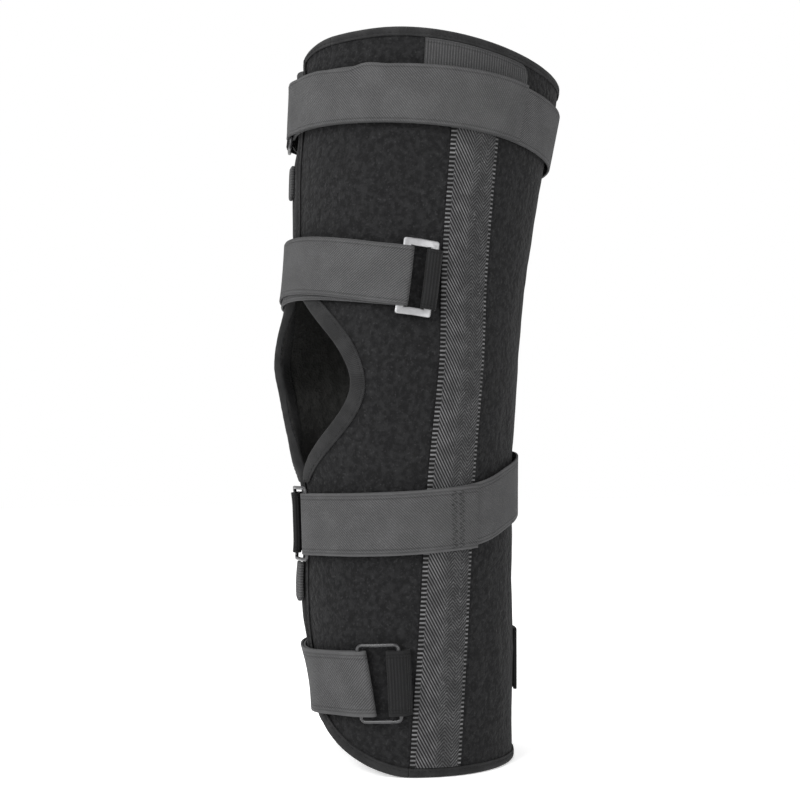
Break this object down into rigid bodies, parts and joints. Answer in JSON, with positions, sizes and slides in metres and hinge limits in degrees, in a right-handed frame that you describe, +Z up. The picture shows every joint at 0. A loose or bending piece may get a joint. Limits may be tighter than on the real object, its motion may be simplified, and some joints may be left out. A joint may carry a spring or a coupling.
{
  "type": "knee immobilizer",
  "caption": "Padded black wrap that holds a leg straight, with an open kneecap, sewn stay tapes and grey webbing straps through rings.",
  "frame": {"origin": "centre of the overall box, on the surface that the lower hem stands on", "axes": "+Z up the leg, the kneecap opening faces -Y, +X is the outer side of a left leg"},
  "size_m": [0.1932, 0.1996, 0.49],
  "materials": {
    "shell": "brushed loop cloth over foam",
    "binding": "woven binding",
    "stay_tape": "herringbone tape",
    "grey_webbing": "woven webbing",
    "black_webbing": "ribbed webbing",
    "bright_ring": "satin nickel",
    "black_ring": "semi-gloss black"
  },
  "bodies": {
    "root": {"lateral_panel": "shell", "medial_panel": "shell", "back_panel": "shell", "lateral_front_binding": "binding", "medial_front_binding": "binding", "top_binding": "binding", "bottom_binding": "binding", "lateral_stay_tape": "stay_tape", "medial_stay_tape": "stay_tape", "thigh_keeper_tab": "grey_webbing", "upper_thigh_strap": "grey_webbing", "upper_thigh_chape": "black_webbing", "upper_thigh_ring": "black_ring", "lower_thigh_strap": "grey_webbing", "lower_thigh_chape": "black_webbing", "lower_thigh_ring": "bright_ring", "upper_calf_strap": "grey_webbing", "upper_calf_chape": "black_webbing", "upper_calf_ring": "black_ring", "lower_calf_strap": "grey_webbing", "lower_calf_chape": "black_webbing", "lower_calf_ring": "black_ring", "upper_pull_tab": "grey_webbing", "lower_pull_tab": "grey_webbing", "lower_calf_anchor": "black_webbing"}
  },
  "joints": []
}
